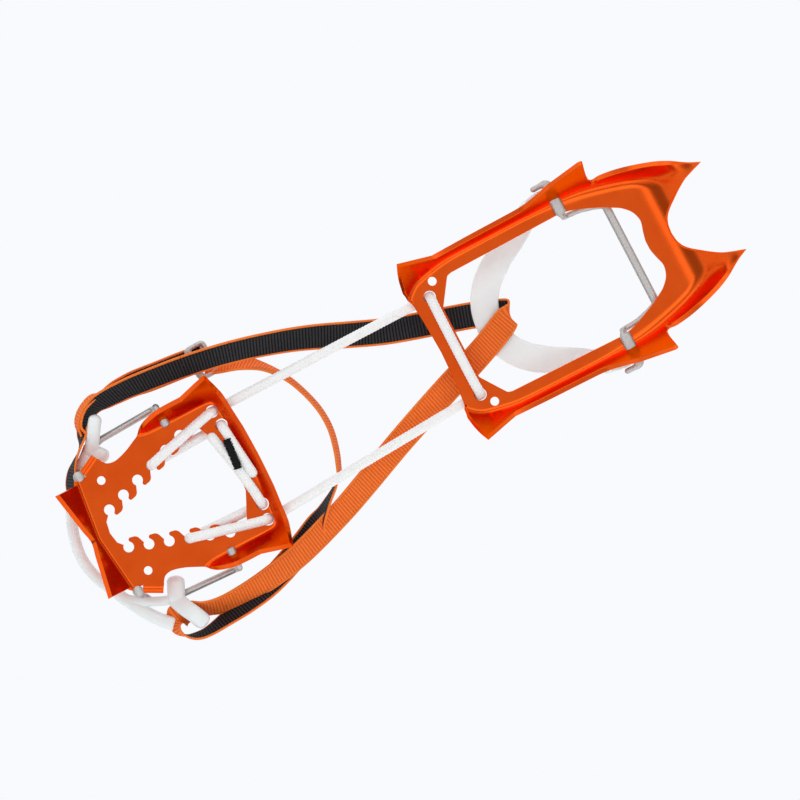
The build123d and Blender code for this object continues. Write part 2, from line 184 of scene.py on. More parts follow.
def stainless(n, shader):
    """Drawn stainless wire with fine scratches along it."""
    scratch = n.noise(n.stretched((500, 3800, 3800)), 1.0, 6)
    steel = n.ramp(scratch, (0.3, (0.46, 0.455, 0.445)), (0.7, (0.66, 0.655, 0.645)))
    n.link(steel, shader.inputs["Base Color"])
    n.link(n.level(scratch, 0.42, 0.58), shader.inputs["Roughness"])
    n.link(n.bump(scratch, 0.2, 0.00008), shader.inputs["Normal"])
    shader.inputs["Metallic"].default_value = 1.0


def milky(n, shader):
    """Moulded flexible plastic, slightly see-through, with a soft moulding texture."""
    flow = n.noise(n.place(), 90.0, 4)
    fine = n.noise(n.place(), 2600.0, 2)
    white = n.ramp(flow, (0.3, (0.84, 0.895, 0.905)), (0.7, (0.90, 0.955, 0.965)))
    n.link(white, shader.inputs["Base Color"])
    n.link(n.level(flow, 0.34, 0.46), shader.inputs["Roughness"])
    n.link(n.bump(fine, 0.15, 0.00005), shader.inputs["Normal"])
    shader.inputs["Subsurface Weight"].default_value = 0.08
    shader.inputs["Subsurface Radius"].default_value = (0.003, 0.003, 0.003)
    shader.inputs["Subsurface Scale"].default_value = 1.0
    shader.inputs["IOR"].default_value = 1.49


def braid(n, shader):
    """White braided cord with painted shade: the gaps between the strands are painted greyer than the bright
    strand crowns; fine filaments.
    """
    filament = n.noise(n.place(), 5200.0, 2)
    dirt = n.noise(n.place(), 140.0, 4)
    # painted shade: greyer where the braid's relief is low, in the gaps between strands
    painted_shade_white = n.ramp(n.relief(), (0.0, (0.84, 0.86, 0.875)), (0.4, (0.93, 0.945, 0.95)),
                   (1.0, (0.97, 0.98, 0.98)))
    n.link(n.mixed(n.level(dirt, 0.0, 0.06), painted_shade_white, (0.78, 0.78, 0.77)), shader.inputs["Base Color"])
    n.link(n.bump(filament, 0.25, 0.0001), shader.inputs["Normal"])
    shader.inputs["Roughness"].default_value = 0.72
    shader.inputs["Sheen Weight"].default_value = 0.1


def webbing_cloth(low, high, gap=0.05):
    """Woven polyamide: yarns across the strap, a finer crossing yarn, and painted shade, with the weave's high
    spots painted lighter and its low spots darker. Tones up to gap have the low colour."""
    def build(n, shader):
        yarn = n.new("TexWave", bands_direction="Y", Scale=7.5, Distortion=0.6)
        cross = n.new("TexWave", bands_direction="X", Scale=5.0, Distortion=0.4)
        for wave in (yarn, cross):
            n.link(n.place("UV"), wave.inputs["Vector"])
        fleck = n.noise(n.place(), 1500.0, 3)
        # painted shade from the weave's relief, plus random flecks
        shade_and_fleck = n.math("MULTIPLY_ADD", n.relief(), 0.7, n.level(fleck, -0.1, 0.4))
        n.link(n.ramp(shade_and_fleck, (gap, low), (0.95, high)), shader.inputs["Base Color"])
        fine = n.bump(yarn.outputs["Fac"], 0.45, 0.00012)
        n.link(n.bump(cross.outputs["Fac"], 0.3, 0.0001, fine), shader.inputs["Normal"])
        shader.inputs["Roughness"].default_value = 0.75
        shader.inputs["Specular IOR Level"].default_value = 0.22
    return build


def thread(n, shader):
    """Twisted black sewing thread."""
    twist = n.noise(n.stretched((2500, 2500, 2500)), 1.0, 3)
    black = n.ramp(twist, (0.3, (0.002, 0.002, 0.0025)), (0.7, (0.010, 0.010, 0.012)))
    n.link(black, shader.inputs["Base Color"])
    n.link(n.bump(twist, 0.6, 0.0002), shader.inputs["Normal"])
    shader.inputs["Roughness"].default_value = 0.8
    shader.inputs["Specular IOR Level"].default_value = 0.2


ORANGE = material("orange_anodised", anodised)
STEEL = material("stainless_steel", stainless)
MILKY = material("white_moulding", milky)
CORD = material("white_braid", braid)
CLOTH_BLACK = material("webbing_black", webbing_cloth((0.0003, 0.0003, 0.0004), (0.048, 0.049, 0.056), 0.45))
CLOTH_ORANGE = material("webbing_orange", webbing_cloth((0.74, 0.075, 0.007), (1.0, 0.25, 0.036)))
SELVEDGE = material("webbing_selvedge", webbing_cloth((0.86, 0.12, 0.011), (1.0, 0.30, 0.05)))
THREAD = material("black_thread", thread)


# ---- mesh helpers
def make_object(name, points, faces, materials, which=None):
    """A mesh object from points in millimetres."""
    mesh = bpy.data.meshes.new(name)
    mesh.from_pydata((np.asarray(points, float) * MM).tolist(), [], faces)
    for mat in materials:
        mesh.materials.append(mat)
    if which is not None:
        mesh.polygons.foreach_set("material_index", which)
    mesh.polygons.foreach_set("use_smooth", [True] * len(mesh.polygons))
    mesh.update()
    obj = bpy.data.objects.new(name, mesh)
    bpy.context.scene.collection.objects.link(obj)
    return obj


def keep_relief(obj, shade):
    """Stores how high each point stands in the weave or the braid, which its material turns into painted shade.
    """
    relief = obj.data.attributes.new("relief", "FLOAT", "POINT")
    relief.data.foreach_set("value", np.concatenate(shade).astype(np.float32))


def joined(name, parts):
    """One object from several."""
    for part in parts:
        part.select_set(True)
    whole = parts[0]
    with bpy.context.temp_override(active_object=whole, object=whole, selected_objects=parts,
                                   selected_editable_objects=parts):
        bpy.ops.object.join()
    whole.name = whole.data.name = name
    return whole


def applied(obj):
    """Applies every modifier of obj."""
    depsgraph = bpy.context.evaluated_depsgraph_get()
    mesh = bpy.data.meshes.new_from_object(obj.evaluated_get(depsgraph))
    obj.modifiers.clear()
    obj.data = mesh
    return obj


def inside(points, outline):
    """Which points lie inside a closed outline."""
    x, y = points[:, 0], points[:, 1]
    found = np.zeros(len(points), bool)
    for (ax, ay), (bx, by) in zip(outline, np.roll(outline, -1, axis=0)):
        if ay != by:
            found ^= ((ay > y) != (by > y)) & (x < (bx - ax) * (y - ay) / (by - ay) + ax)
    return found


def divided(outline, step):
    """A closed outline with points no further apart than step."""
    points = []
    for a, b in zip(outline, outline[1:] + outline[:1]):
        a, b = np.array(a, float), np.array(b, float)
        count = max(1, math.ceil(np.linalg.norm(b - a) / step))
        points += [tuple(a + (b - a) * k / count) for k in range(count)]
    return points


def round_hole(x, y, radius, count=28):
    turns = [2 * math.pi * k / count for k in range(count)]
    return [(x + radius * math.cos(turn), y + radius * math.sin(turn)) for turn in turns]


def smooth_run(points, count):
    """A smooth open curve through the points (Catmull-Rom), count steps from each to the next."""
    p = np.array(points, float)
    p = np.vstack([2 * p[0] - p[1], p, 2 * p[-1] - p[-2]])
    out = []
    for a, b, c, d in zip(p, p[1:], p[2:], p[3:]):
        for t in np.arange(count) / count:
            out.append(tuple(0.5 * (2 * b + (c - a) * t + (2 * a - 5 * b + 4 * c - d) * t * t
                                    + (3 * b - a - 3 * c + d) * t ** 3)))
    return out + [tuple(p[-2])]


def fade(x, start, end):
    """Rises smoothly from 0 at start to 1 at end."""
    t = np.clip((x - start) / (end - start), 0, 1)
    return t * t * (3 - 2 * t)


# ---- bent sheet
BEND_LEAD = 0.74                        # a bend starts this share of its radius before its line
RIM_STEP, FINE, COARSE = 1.0, 0.95, 3.8  # between points along the rims, in the bends and on the flats
RIM_CLEAR, SLIVER = 0.75, 0.02          # the least gap from a rim, and the least doubled area of a triangle
SLOPE_STEP, ARRIS, ARRIS_ANGLE = 0.5, 0.3, 55


def beyond(p, line):
    """How far each point lies beyond a bend line, positive on the line's left."""
    line = np.array(line, float)
    best, side = np.full(len(p), 1e9), np.ones(len(p))
    for a, b in zip(line, line[1:]):
        d, q = b - a, p - a
        t = np.clip(q @ d / (d @ d), 0, 1)
        away = np.hypot(*(q - t[:, None] * d).T)
        turn = d[0] * q[:, 1] - d[1] * q[:, 0]
        closer = away < best - 1e-9
        side = np.where(closer, np.sign(turn), side)
        best = np.where(closer, away, best)
    return best * side


def bent(d, radius, angle):
    """Height of a sheet d beyond a bend line, for an inside radius and a final slope angle."""
    slope = math.radians(angle)
    top = math.sin(slope)
    u = d + BEND_LEAD * radius
    arc = np.clip(u, 0, radius * top)
    curved = radius - np.sqrt(np.maximum(radius ** 2 - arc ** 2, 0))
    return curved + np.maximum(u - radius * top, 0) * math.tan(slope)


def folded(p):
    """Plan points brought to the +Y side, as both sections are alike on both sides."""
    return np.column_stack([p[:, 0], np.abs(p[:, 1])])


def grid(low, high, step):
    """Evenly spaced plan points in staggered rows."""
    xs, ys = np.arange(low[0], high[0], step), np.arange(low[1], high[1], step * 0.866)
    gx, gy = np.meshgrid(xs, ys)
    gx = gx + (np.arange(len(ys)) % 2)[:, None] * step / 2
    return np.column_stack([gx.ravel(), gy.ravel()])


def in_sheet(points, loops):
    """Which points lie inside the first loop and outside the others."""
    found = inside(points, loops[0])
    for hole in loops[1:]:
        found &= ~inside(points, hole)
    return found


def clear_of(points, rims, block=2000):
    """Which points lie far enough from every rim point, worked out in blocks."""
    found = [np.linalg.norm(points[k:k + block, None] - rims[None], axis=2).min(1) > RIM_CLEAR
             for k in range(0, len(points), block)]
    return np.concatenate(found)


def triangulated(loops, inner):
    """Plan points and triangles of a flat sheet, between its rims and through its inner points."""
    points, edges = [], []
    for loop in loops:
        base = len(points)
        points += [Vector(p) for p in loop]
        edges += [(base + k, base + (k + 1) % len(loop)) for k in range(len(loop))]
    points += [Vector(p) for p in inner]
    verts, _, faces, *_ = delaunay_2d_cdt(points, edges, [], 0, 1e-5)
    plan = np.array([tuple(v) for v in verts])
    faces = np.array([f for f in faces if len(f) == 3])
    one, two = plan[faces[:, 1]] - plan[faces[:, 0]], plan[faces[:, 2]] - plan[faces[:, 0]]
    doubled = np.abs(one[:, 0] * two[:, 1] - one[:, 1] * two[:, 0])
    return plan, faces[in_sheet(plan[faces].mean(1), loops) & (doubled > SLIVER)]


def rim_edges(faces):
    """The edges that only one triangle has, in its own direction."""
    edges = {}
    for f in faces.tolist():
        for a, b in ((f[0], f[1]), (f[1], f[2]), (f[2], f[0])):
            edges.setdefault((min(a, b), max(a, b)), []).append((a, b))
    return [pair[0] for pair in edges.values() if len(pair) == 1]


def pressed_sheet(name, outline, holes, height, dense, origin, node):
    """Bent sheet metal: a flat cut outline with holes, raised by height(points) and given its thickness."""
    loops = [np.array(divided(loop, RIM_STEP)) for loop in [outline] + holes]
    low, high = loops[0].min(0), loops[0].max(0)
    fine, coarse = grid(low, high, FINE), grid(low, high, COARSE)
    inner = np.vstack([fine[dense(fine)], coarse[~dense(coarse)]])
    inner = inner[in_sheet(inner, loops)]
    inner = inner[clear_of(inner, np.vstack(loops))]
    plan, faces = triangulated(loops, inner)

    slope = np.column_stack([(height(plan + step) - height(plan - step)) / (2 * SLOPE_STEP)
                             for step in ((SLOPE_STEP, 0), (0, SLOPE_STEP))])
    normal = np.column_stack([-slope, np.ones(len(plan))])
    normal /= np.linalg.norm(normal, axis=1)[:, None]
    top = np.column_stack([plan, PLATE_TOP + height(plan)]) + origin
    under = top - SHEET * normal
    count = len(plan)
    all_faces = faces.tolist() + (faces[:, ::-1] + count).tolist()
    all_faces += [(b, a, a + count, b + count) for a, b in rim_edges(faces)]
    obj = make_object(name, np.vstack([top, under]), all_faces, [ORANGE])
    bm = bmesh.new()
    bm.from_mesh(obj.data)
    bmesh.ops.delete(bm, geom=[v for v in bm.verts if not v.link_faces], context="VERTS")
    bmesh.ops.recalc_face_normals(bm, faces=bm.faces)
    bm.to_mesh(obj.data)
    bm.free()
    bevel = obj.modifiers.new("arris", "BEVEL")
    bevel.width, bevel.segments, bevel.limit_method = ARRIS * MM, 2, "ANGLE"
    bevel.angle_limit = math.radians(ARRIS_ANGLE)
    bevel.use_clamp_overlap = bevel.harden_normals = True
    applied(obj)
    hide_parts(node)
    return obj


# ---- front section
FRONT_HALF = (
    [(-1.0, 0), (-1.4, 10), (-2.0, 20), (-2.8, 30), (-3.2, 37), (-2.6, 42), (-1.3, 47.5), (0.3, 51.9),
     (2.5, 51.3), (19.3, 47.3), (40, 47.7), (62.6, 48.0)]
    + smooth_run([(62.6, 48.0), (72, 48.2), (78, 48.8), (84, 50.0), (93, 52.2)], 4)[1:]
    + [(114.4, 55.4), (113.7, 50.0), (113.6, 46.8)]
    + smooth_run([(113.6, 46.8), (114.2, 44.3), (116.2, 43.6), (120.3, 43.8), (128.5, 42.7), (136.5, 40.8),
                  (146, 37.8), (155.3, 34.0), (163, 30.6), (170.5, 26.8)], 4)[1:]
    + smooth_run([(170.5, 26.8), (164, 24.3), (156.8, 21.2), (149.0, 15.4), (143.8, 10.2), (141.6, 5.4),
                  (140.9, 0)], 5)[1:])
FRONT_OPENING_HALF = (
    [(11.2, 0), (11.2, 20.2)] + smooth_run([(11.2, 20.2), (11.5, 21.6), (12.4, 23.0)], 2)[1:] + [(20.4, 34.6)]
    + smooth_run([(20.4, 34.6), (21.6, 36.0), (24.0, 36.7)], 3)[1:] + [(91.5, 37.7)]
    + smooth_run([(91.5, 37.7), (98, 36.6), (105.2, 34.0), (114.1, 30.1), (119.5, 27.2), (123.9, 24.4),
                  (128.0, 19.8), (129.7, 13.9), (128.2, 7.9), (127.1, 3), (127.0, 0)], 5)[1:])
FRONT_BEND = smooth_run(
    [(-40, 10), (-8, 30), (-3.6, 35), (0.35, 38.4), (4.6, 40.8), (13.8, 43.0), (25, 44.6), (42, 44.8),
     (60, 44.9), (78, 44.9), (95, 44.6), (104, 44.0), (112, 42.9), (123, 40.4), (134, 37.0), (150, 30.8),
     (158, 27.2), (200, 10)], 5)
POINTS_BEND_X, POINTS_BEND_R, POINTS_ANGLE, POINTS_RISE = 150.2, 22.0, 44.6, 29.7
BRIDGE_HOLE, CORD_HOLE_R = (7.5, 30.2), 3.45
FRONT_SMALL_HOLE, FRONT_SMALL_R = (12.7, 37.2), 2.45


def front_height(p):
    """Side flanges, bent tight at the rails and wide at the toe, and the front points bent between them."""
    q = folded(p)
    d = beyond(q, FRONT_BEND)
    wide = fade(q[:, 0], 70, 122)
    rear = 1 - fade(q[:, 0], 14, 45)
    tight = bent(d, 3.2, 66)
    corner = bent(d, 4.2, 60)
    broad = bent(d, 8.5, 66)
    side = (tight * (1 - rear) + corner * rear) * (1 - wide) + broad * wide
    side *= 1 - fade(q[:, 0], 146, 168)
    points = bent(q[:, 0] - POINTS_BEND_X, POINTS_BEND_R, POINTS_ANGLE)
    return np.minimum(side + points, POINTS_RISE)


def front_dense(p):
    """Where the front section needs close points: its bends, and all of its toe end."""
    q = folded(p)
    return (np.abs(beyond(q, FRONT_BEND)) < 9.5) | (q[:, 0] > 130)


def both_holes(place, radius, count=28):
    return [round_hole(place[0], side * place[1], radius, count) for side, _ in BOTH_SIDES]


front_frame = pressed_sheet(
    "front_section_sheet", mirrored(FRONT_HALF),
    [mirrored(FRONT_OPENING_HALF)] + both_holes(BRIDGE_HOLE, CORD_HOLE_R)
    + both_holes(FRONT_SMALL_HOLE, FRONT_SMALL_R, 24),
    front_height, front_dense, FRONT, "front_frame")
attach(front_frame, "front_section")

# ---- heel section
NOTCH_FIRST, NOTCH_STEP, NOTCH_R, NOTCHES = (22.7, 11.5), (10.65, 3.7), 3.0, 6
HOOK_TIP, HOOK_TIP_R = (1.75, 3.9), 1.25
HOOK_BACK = [(2.2, 5.15), (4.0, 5.35), (5.7, 4.7), (7.0, 3.3), (8.3, 1.75)]
ALONG = np.array(NOTCH_STEP) / math.hypot(*NOTCH_STEP)
INWARD = np.array((ALONG[1], -ALONG[0]))


def arc(x, y, radius, degrees):
    return [(x + radius * math.cos(t), y + radius * math.sin(t)) for t in np.radians(degrees)]


def hook_run():
    """The row of hooks along one side of the heel opening, each curling rearwards over its notch."""
    hook = (arc(0, 0, NOTCH_R, np.arange(150, 421, 15)) + arc(*HOOK_TIP, HOOK_TIP_R, np.arange(225, 80, -24))
            + smooth_run(HOOK_BACK, 4))
    run = []
    for k in range(NOTCHES):
        centre = np.array(NOTCH_FIRST) + k * np.array(NOTCH_STEP)
        run += [tuple(centre + a * ALONG + b * INWARD) for a, b in hook]
    return run


HEEL_HALF = (
    [(8.4, 0), (8.0, 3.0), (7.2, 6.5), (3.4, 31.3), (13.6, 31.6)]
    + smooth_run([(13.6, 31.6), (14.4, 33.4), (15.6, 34.3), (17.2, 34.0), (18.6, 33.6)], 3)[1:]
    + [(20.0, 33.8), (18.0, 37.7), (27.8, 42.9), (30.2, 39.0)]
    + smooth_run([(30.2, 39.0), (31.6, 36.6), (33.8, 34.6), (38.3, 34.0), (45.1, 35.9), (51.0, 38.6),
                  (56.3, 41.2)], 4)[1:]
    + smooth_run([(56.3, 41.2), (62, 43.4), (70, 45.4), (78, 45.8), (86, 45.8)], 3)[1:]
    + [(103.0, 50.4), (104.3, 43.8), (105.2, 38.0), (105.9, 31.8), (107.2, 18), (107.5, 7), (107.6, 0)])
HEEL_OPENING_HALF = (
    [(17, 0), (18.2, 6.4)] + hook_run() + smooth_run([(84.5, 28.9), (86.4, 29.0), (87.6, 27.6)], 3)
    + [(94.2, 13.6), (94.6, 9.0), (94.6, 0)])
SIDE_BEND = smooth_run(
    [(30, 64), (48, 47), (54, 42.6), (60, 40.3), (70, 39.9), (81, 39.9), (92, 40.0), (98.2, 39.7),
     (101.0, 38.4), (102.4, 35.6), (103.1, 31), (104.2, 18), (104.8, 7), (105.0, 0), (105.0, -6)], 5)
EAR_BEND = [(10, 30.0), (20.4, 34.9), (30.0, 39.9), (40, 45)]
REAR_BEND_X, REAR_BEND_OUT = 11.0, (0.993, 0.1186)
BEND_HOLE, TAIL_HOLE = (97.7, 33.4), (99.0, 24.5)
HEEL_SMALL_HOLE, HEEL_SMALL_R = (26.2, 27.9), 2.4


def beyond_rear(q):
    """How far each point lies beyond the slanting bend line of the rear points."""
    return (REAR_BEND_X - q[:, 0]) * REAR_BEND_OUT[0] + q[:, 1] * REAR_BEND_OUT[1]


def heel_height(p):
    """Rear points, side flanges with a lower lip across the front, and two ears bent down at the rear."""
    q = folded(p)
    rear = bent(beyond_rear(q) - 1.2, 2.4, 62)
    d = beyond(q, SIDE_BEND)
    lip = fade(q[:, 0], 92, 101) * (1 - fade(q[:, 1], 30, 40))
    side = bent(d, 2.6, 62) * (1 - lip) + bent(d + 0.5, 2.6, 46) * lip
    ear = -bent(beyond(q, EAR_BEND) - 2.6, 4.4, 55) * (q[:, 0] > 17.2) * (q[:, 0] < 32)
    return rear + side + ear


def heel_dense(p):
    """Where the heel section needs close points: its bends, its ears, and all of its front end."""
    q = folded(p)
    rear = np.abs(beyond_rear(q)) < 7
    ear = (np.abs(beyond(q, EAR_BEND)) < 8) & (q[:, 0] > 15) & (q[:, 0] < 34)
    return rear | (np.abs(beyond(q, SIDE_BEND)) < 6) | ear | (q[:, 0] > 96)


heel_frame = pressed_sheet(
    "heel_section_sheet", mirrored(HEEL_HALF),
    [mirrored(HEEL_OPENING_HALF)] + both_holes(BEND_HOLE, CORD_HOLE_R) + both_holes(TAIL_HOLE, CORD_HOLE_R)
    + both_holes(HEEL_SMALL_HOLE, HEEL_SMALL_R, 24),
    heel_height, heel_dense, HEEL, "heel_frame")
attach(heel_frame, "heel_section")


# ---- sweeps
def resampled(points, step, *extra):
    """Points of a polyline about step apart, with the other rows of numbers carried along."""
    p = np.asarray(points, float)
    s = np.concatenate([[0], np.cumsum(np.linalg.norm(np.diff(p, axis=0), axis=1))])
    count = max(2, round(s[-1] / step) + 1)
    at = np.linspace(0, s[-1], count)
    rows = [np.column_stack([np.interp(at, s, column) for column in np.asarray(r, float).T])
            for r in (p, *extra)]
    return at, rows


def directions(p):
    t = np.gradient(p, axis=0)
    return t / np.linalg.norm(t, axis=1)[:, None]


def transported(p, first=(0, 0, 1)):
    """The direction and a normal at each point. The normal turns as little as possible along the path."""
    t = directions(p)
    n = np.array(first if abs(t[0] @ first) < 0.9 else first[::-1], float)
    rows = []
    for k in range(len(p)):
        n = n - (n @ t[k]) * t[k]
        n /= np.linalg.norm(n)
        rows.append(n.copy())
    return t, np.array(rows)


def stations(points, normals, step):
    """Points about step apart: distance along, place, normal, and the direction across the path."""
    if normals is None:
        s, (p,) = resampled(points, step)
        t, n = transported(p)
    else:
        s, (p, n) = resampled(points, step, normals)
        t = directions(p)
        n = n - np.sum(n * t, axis=1)[:, None] * t
        n /= np.linalg.norm(n, axis=1)[:, None]
    return s, p, n, np.cross(n, t)


def ring_faces(rings, sides):
    """The faces between rings of points, ring by ring, and then the two ends."""
    faces = []
    for r in range(0, (rings - 1) * sides, sides):
        for k in range(sides):
            after = (k + 1) % sides
            faces.append((r + k, r + after, r + sides + after, r + sides + k))
    return faces + [tuple(range(sides))[::-1], tuple((rings - 1) * sides + k for k in range(sides))]


def swept(name, points, section, mat, normals=None, step=0.6):
    """A solid swept along points. section(at, share) gives the outline (across, out) at that distance, that
    share of the whole, and for a braid also how high each point stands."""
    s, p, n, b = stations(points, normals, step)
    rings, shade = [], []
    for k in range(len(p)):
        across, out, *relief = section(s[k], s[k] / s[-1])
        rings.append(p[k] + np.outer(across, b[k]) + np.outer(out, n[k]))
        shade += relief
    obj = make_object(name, np.vstack(rings), ring_faces(len(rings), len(rings[0])), [mat])
    if shade:
        keep_relief(obj, shade)
    return obj


def rounded_box(count, across_power, out_power):
    """A section's points on a unit box. Powers of 1 make it a circle, and lower powers a squarer outline."""
    angle = np.linspace(0, 2 * math.pi, count, endpoint=False)
    c, s = np.cos(angle), np.sin(angle)
    return np.sign(c) * np.abs(c) ** across_power, np.sign(s) * np.abs(s) ** out_power


def tip_size(near, rounding, least=0.03):
    """How small a section is at a distance near from an end that is round over that length."""
    return math.sqrt(max(least, 1 - (1 - min(1, near / rounding)) ** 2))


def oval(width, height, power=2.0, count=24, ends=1.2):
    """A section of that size, rounded off over the last ends millimetres."""
    across, out = rounded_box(count, 2 / power, 2 / power)
    across, out = across * width / 2, out * height / 2

    def section(at, share):
        near = min(at, at / share - at) if share > 0 else 0
        size = tip_size(near, ends, 0.02) if ends else 1
        return across * size, out * size
    return section


def rounded_route(corners, radius=3.2, count=7):
    """A wire's centreline: straight runs joined by bends of that radius."""
    p = np.array(corners, float)
    out = [p[0]]
    for a, b, c in zip(p, p[1:], p[2:]):
        before, after = np.linalg.norm(a - b), np.linalg.norm(c - b)
        u, v = (a - b) / before, (c - b) / after
        half = math.acos(np.clip(u @ v, -1, 1)) / 2
        if half > 1.56:
            out.append(b)
            continue
        reach = min(radius / math.tan(half), before * 0.48, after * 0.48)
        start, end = b + u * reach, b + v * reach
        out += [start * (1 - t) ** 2 + 2 * b * t * (1 - t) + end * t * t for t in np.linspace(0, 1, count)]
    return np.array(out + [p[-1]])


# ---- link cord
def cord_line(route):
    """Points read from the smooth spline that has the route as its control points."""
    curve = bpy.data.curves.new("route", "CURVE")
    curve.dimensions, curve.resolution_u = "3D", 24
    spline = curve.splines.new("NURBS")
    spline.points.add(len(route) - 1)
    for point, place in zip(spline.points, route):
        point.co = (*place, 1)
    spline.order_u, spline.use_endpoint_u = 3, True
    holder = bpy.data.objects.new("route", curve)
    mesh = bpy.data.meshes.new_from_object(holder)
    points = np.array([v.co[:] for v in mesh.vertices])
    bpy.data.objects.remove(holder)
    bpy.data.meshes.remove(mesh)
    bpy.data.curves.remove(curve)
    return points


BRAID_STRANDS, BRAID_PITCH, BRAID_DEPTH = 8, 7.5, 0.32


def braided(name, route, round_end=0.0):
    """A braided cord of two crossing families of strands along the route's smooth line."""
    angle = np.linspace(0, 2 * math.pi, 40, endpoint=False)
    points = cord_line(route)
    length = np.linalg.norm(np.diff(points, axis=0), axis=1).sum()

    def section(at, share):
        turn = 2 * math.pi * at / BRAID_PITCH
        one = np.cos(BRAID_STRANDS / 2 * (angle + turn))
        two = np.cos(BRAID_STRANDS / 2 * (angle - turn))
        crown = np.clip(np.maximum(one, two) * 0.5 + 0.5, 0, 1) ** 0.8
        size = tip_size(length - at, round_end, 0.05) if round_end and length - at < round_end else 1.0
        r = (CORD_R - BRAID_DEPTH + BRAID_DEPTH * crown) * size
        # crown also sets the painted shade in the braid's gaps
        return r * np.cos(angle), r * np.sin(angle), crown
    return swept(name, points, section, CORD, step=0.45)


bridge = braided("cord_over_front_crossbar", front(
    (-1.0, 30.2, CORD_LOW_Z), (3.4, 30.2, CORD_LOW_Z), (7.5, 30.4, CORD_LOW_Z + 1.5),
    (7.6, 30.4, CORD_TOP_Z - 1.0), (7.6, 27.5, CORD_TOP_Z + 0.3), (7.4, 21, CORD_TOP_Z),
    (7.2, -21, CORD_TOP_Z), (7.6, -27.5, CORD_TOP_Z + 0.3), (7.6, -30.4, CORD_TOP_Z - 1.0),
    (7.5, -30.4, CORD_LOW_Z + 1.5), (3.4, -30.2, CORD_LOW_Z), (-1.0, -30.2, CORD_LOW_Z)))
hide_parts("cord_front_bridge")
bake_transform(bridge)

LASH_X, LASH_Y = NOTCH_FIRST[0] + 3 * NOTCH_STEP[0], NOTCH_FIRST[1] + 3 * NOTCH_STEP[1]
for side, name in BOTH_SIDES:
    start, end = front((-1.3, side * 30.2, CORD_LOW_Z)), heel((103.7, side * 33.4, CORD_LOW_Z))
    run = braided(f"cord_between_sections_{name}", [start, (start * 2 + end) / 3, (start + end * 2) / 3, end])
    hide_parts(f"cord_run_{name}")
    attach(run, "cord_link")

    elbow = braided(f"cord_elbow_{name}", heel(
        (103.5, side * 33.4, CORD_LOW_Z), (100.6, side * 33.4, CORD_LOW_Z),
        (97.9, side * 33.4, CORD_LOW_Z + 1.6), (97.7, side * 33.4, PLATE_Z + 1.6)))
    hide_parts(f"cord_bend_{name}")
    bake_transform(elbow)

    lashing = braided(f"cord_lashing_over_{name}", heel(
        (97.7, side * 33.4, PLATE_Z + 1.0), (97.9, side * 33.4, CORD_TOP_Z - 1.4),
        (95.2, side * 32.9, CORD_TOP_Z + 0.6), (88, side * 31.2, CORD_TOP_Z),
        (63, side * (LASH_Y + 2.3), CORD_TOP_Z), (57.5, side * (LASH_Y + 0.8), CORD_TOP_Z + 0.2),
        (LASH_X - 0.2, side * LASH_Y, CORD_TOP_Z - 1.6), (LASH_X - 0.2, side * LASH_Y, CORD_LOW_Z + 1.6),
        (58, side * (LASH_Y + 0.3), CORD_LOW_Z - 0.2), (66, side * (LASH_Y + 0.8), CORD_LOW_Z),
        (90, side * 24.1, CORD_LOW_Z), (96.4, side * 24.4, CORD_LOW_Z),
        (99.0, side * 24.5, CORD_LOW_Z + 1.6), (99.0, side * 24.5, PLATE_Z + 1.6)))
    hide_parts(f"cord_lashing_{name}")
    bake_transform(lashing)

TAILS = {
    "left": [(99.0, 24.5, PLATE_Z + 1.2), (99.1, 24.4, CORD_TOP_Z - 1.2), (99.3, 21.6, CORD_TOP_Z + 0.5),
             (99.8, 16.5, CORD_TOP_Z), (101.0, 3.0, CORD_TOP_Z), (102.4, -9.4, CORD_TOP_Z)],
    "right": [(99.0, -24.5, PLATE_Z + 1.2), (99.0, -24.4, CORD_TOP_Z - 1.2), (98.7, -21.6, CORD_TOP_Z + 0.5),
              (98.0, -14.0, CORD_TOP_Z), (95.2, 3.0, CORD_TOP_Z), (92.6, 14.0, CORD_TOP_Z),
              (90.9, 23.3, CORD_TOP_Z)]}
for name, route in TAILS.items():
    tail = braided(f"cord_end_{name}", heel(*route), round_end=2.6)
    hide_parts(f"cord_tail_{name}")
    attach(tail, "heel_section")

# bar tack that sews the two cord ends together: a zigzag of thread with a row of crossing stitches
TACK_START, TACK_STEP, TACK_REACH, TACK_Z = (97.9, 16.0), (0.067, 0.74), (-2.1, 2.1), (29.8, 29.5)
tack = [(TACK_START[0] - TACK_STEP[0] * k + TACK_REACH[k % 2], TACK_START[1] - TACK_STEP[1] * k,
         TACK_Z[k % 2]) for k in range(24)]
stitching = swept("cord_bar_tack", heel(*tack), oval(1.25, 0.9, count=10, ends=0.4), THREAD, step=0.3)
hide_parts("cord_stitching")
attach(stitching, "heel_section")

# ---- strap
RIB_PITCH, SELVEDGE_PITCH, TWILL = 1.75, 0.95, 0.35
RIB_HEIGHT, TWILL_HEIGHT, SELVEDGE_HEIGHT = 0.22, 0.13, 0.05
EDGE = np.array((-7.5, -7.38, -7.0, -6.5, -6.28, -6.05, -5.0, -3.4, -1.7,
                 0.0, 1.7, 3.4, 5.0, 6.05, 6.28, 6.5, 7.0, 7.38))
THICK_AT, THICK = (0, 6.05, 6.28, 6.5, 7.0, 7.38, 7.5), (0.5, 0.5, 0.34, 0.6, 0.6, 0.38, 0.0)
ROW_STEPS = 14


